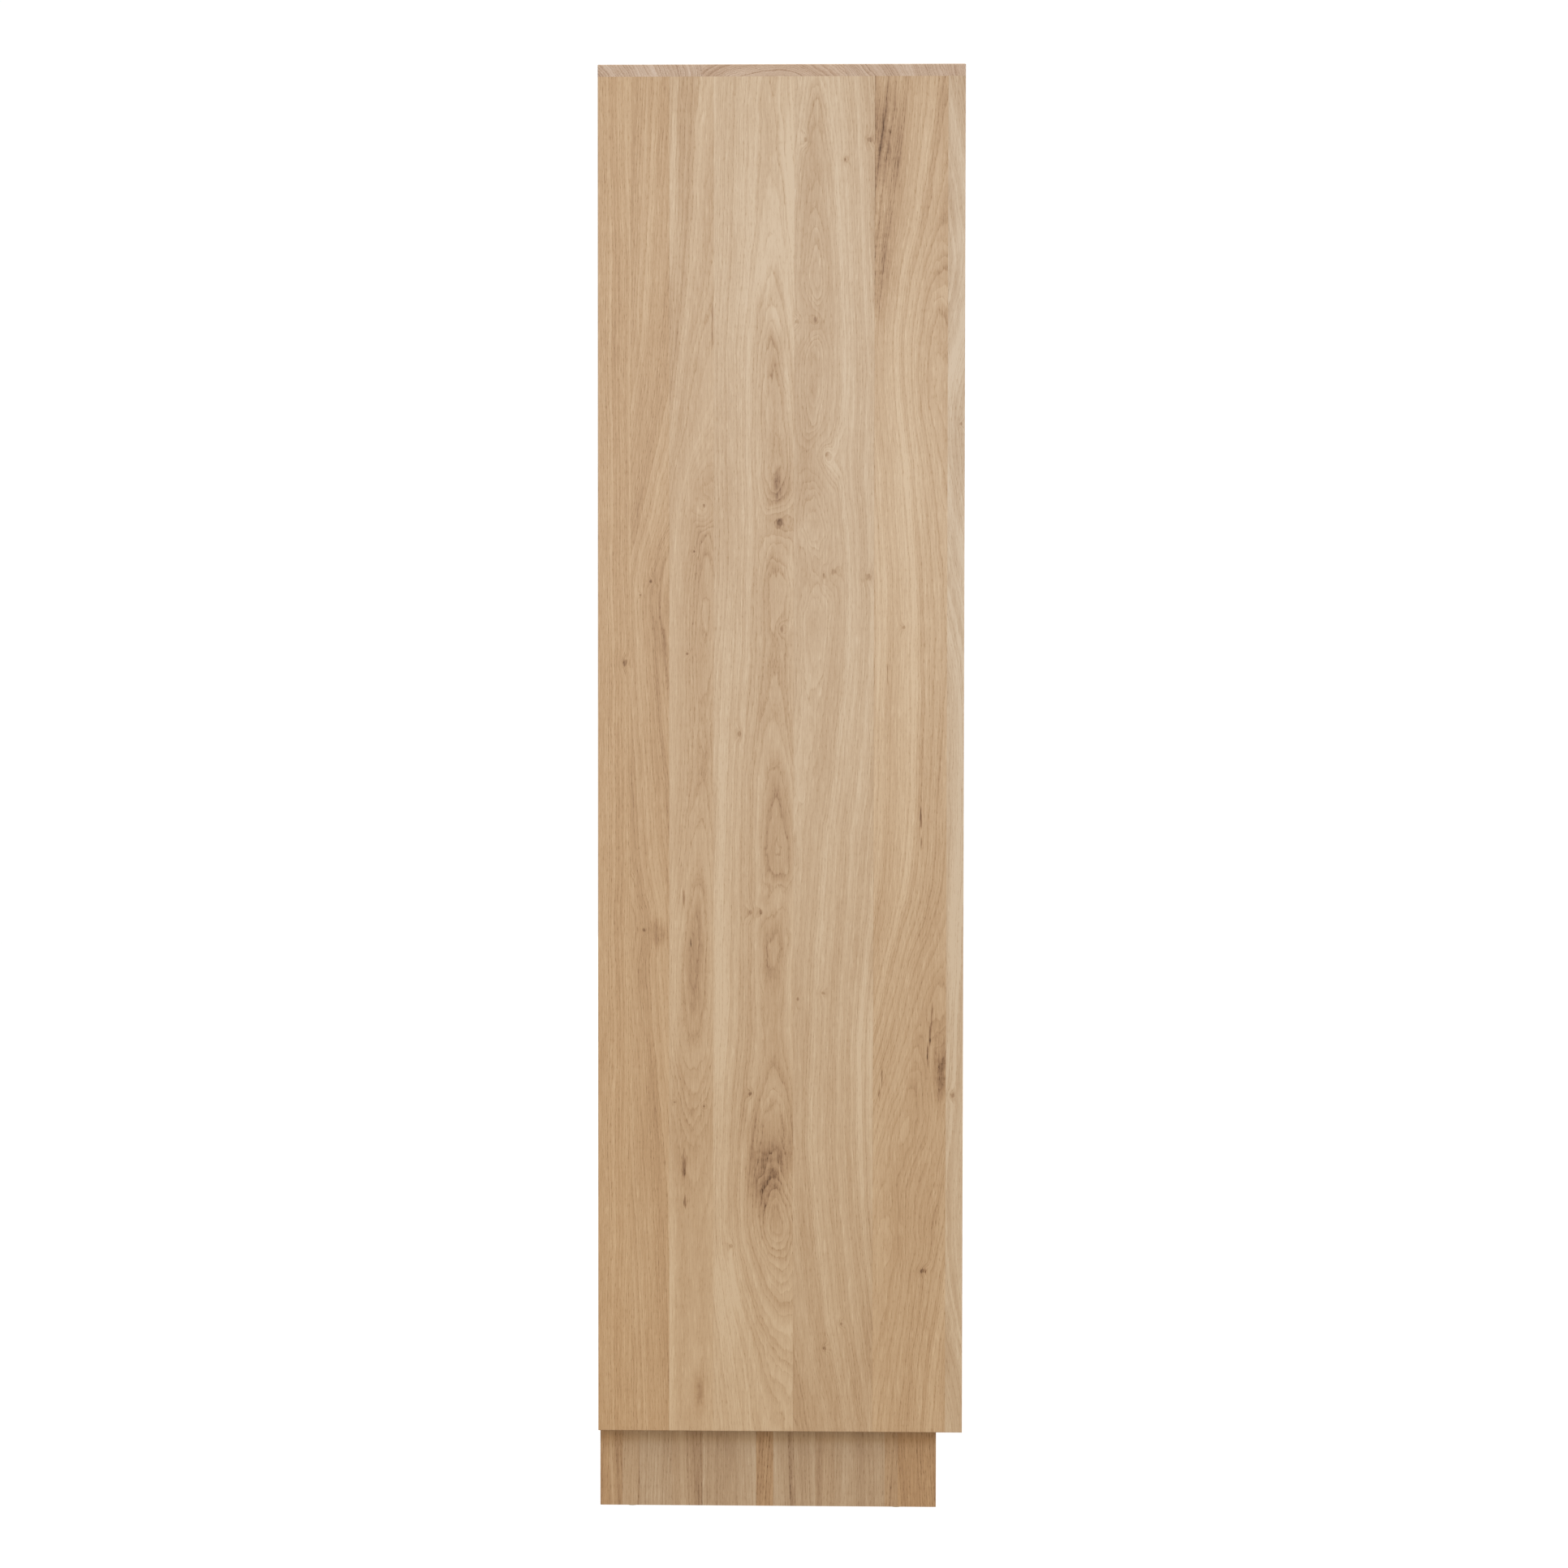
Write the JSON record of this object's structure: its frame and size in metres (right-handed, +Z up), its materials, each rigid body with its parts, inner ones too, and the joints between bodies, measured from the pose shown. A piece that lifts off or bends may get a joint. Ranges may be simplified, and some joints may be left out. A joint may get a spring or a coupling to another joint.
{
  "type": "pantry cabinet",
  "caption": "Tall free-standing oak pantry cabinet with inset doors over inset drawers, adjustable shelves inside and a recessed plinth.",
  "frame": {"origin": "on the floor, under the centre of the cabinet's width and depth", "axes": "+Z up; -Y is the front with the doors and drawers; +X is to the right of someone who faces the front"},
  "size_m": [1, 0.455, 1.8],
  "materials": {
    "oak": "natural oil, satin",
    "plywood": "oak-faced plywood, satin",
    "beech": "raw",
    "steel": "zinc plated",
    "brass": "satin",
    "nylon": "natural nylon",
    "catch_plastic": "moulded",
    "magnet": "ferrite"
  },
  "bodies": {
    "cabinet": {"back_panel_lower": "plywood", "back_panel_screws": "steel", "back_panel_upper": "plywood", "bottom_panel": "oak", "carcass_dowels": "beech", "catch_left": "catch_plastic", "catch_magnets": "magnet", "catch_right": "catch_plastic", "drawer_divider": "oak", "hardware_screws": "steel", "hinge_leaves_left": "brass", "hinge_leaves_right": "brass", "hinge_pins": "brass", "hinge_washers": "nylon", "middle_panel": "oak", "plinth_back": "oak", "plinth_corner_blocks": "oak", "plinth_front": "oak", "plinth_glides": "nylon", "plinth_screws": "steel", "plinth_side_left": "oak", "plinth_side_right": "oak", "runner_outer_left": "steel", "runner_outer_right": "steel", "runner_screws": "steel", "shelf_1": "oak", "shelf_2": "oak", "shelf_3": "oak", "shelf_4": "oak", "shelf_pegs": "brass", "side_panel_left": "oak", "side_panel_right": "oak", "top_panel": "oak", "wall_bracket_left": "steel", "wall_bracket_right": "steel"},
    "door_left": {"door_left_battens": "oak", "door_left_hinge_leaves": "brass", "door_left_panel": "oak", "door_left_screws": "steel", "door_left_strike_plate": "steel"},
    "drawer_left": {"drawer_left_back": "oak", "drawer_left_base": "plywood", "drawer_left_front": "oak", "drawer_left_runner_members": "steel", "drawer_left_screws": "steel", "drawer_left_sides": "oak"},
    "runner_middle_left": {"runner_middle_left": "steel"},
    "door_right": {"door_right_battens": "oak", "door_right_hinge_leaves": "brass", "door_right_panel": "oak", "door_right_screws": "steel", "door_right_strike_plate": "steel"},
    "drawer_right": {"drawer_right_back": "oak", "drawer_right_base": "plywood", "drawer_right_front": "oak", "drawer_right_runner_members": "steel", "drawer_right_screws": "steel", "drawer_right_sides": "oak"},
    "runner_middle_right": {"runner_middle_right": "steel"}
  },
  "joints": [
    {"name": "door_left_hinge", "type": "hinge", "parent": "cabinet", "child": "door_left", "pos_m": [-0.453, -0.2175, 1.06], "axis": [0, 0, -1], "range_deg": [0, 120]},
    {"name": "door_right_hinge", "type": "hinge", "parent": "cabinet", "child": "door_right", "pos_m": [0.453, -0.2175, 1.06], "axis": [0, 0, 1], "range_deg": [0, 120]},
    {"name": "drawer_left_slide", "type": "slide", "parent": "cabinet", "child": "drawer_left", "axis": [0, -1, 0], "range_m": [0, 0.36]},
    {"name": "runner_middle_left_slide", "type": "slide", "parent": "cabinet", "child": "runner_middle_left", "axis": [0, -1, 0], "range_m": [0, 0.18]},
    {"name": "drawer_right_slide", "type": "slide", "parent": "cabinet", "child": "drawer_right", "axis": [0, -1, 0], "range_m": [0, 0.36]},
    {"name": "runner_middle_right_slide", "type": "slide", "parent": "cabinet", "child": "runner_middle_right", "axis": [0, -1, 0], "range_m": [0, 0.18]}
  ],
  "couplings": [
    {"joint": "runner_middle_left_slide", "follows": "drawer_left_slide", "ratio": 0.5},
    {"joint": "runner_middle_right_slide", "follows": "drawer_right_slide", "ratio": 0.5}
  ]
}
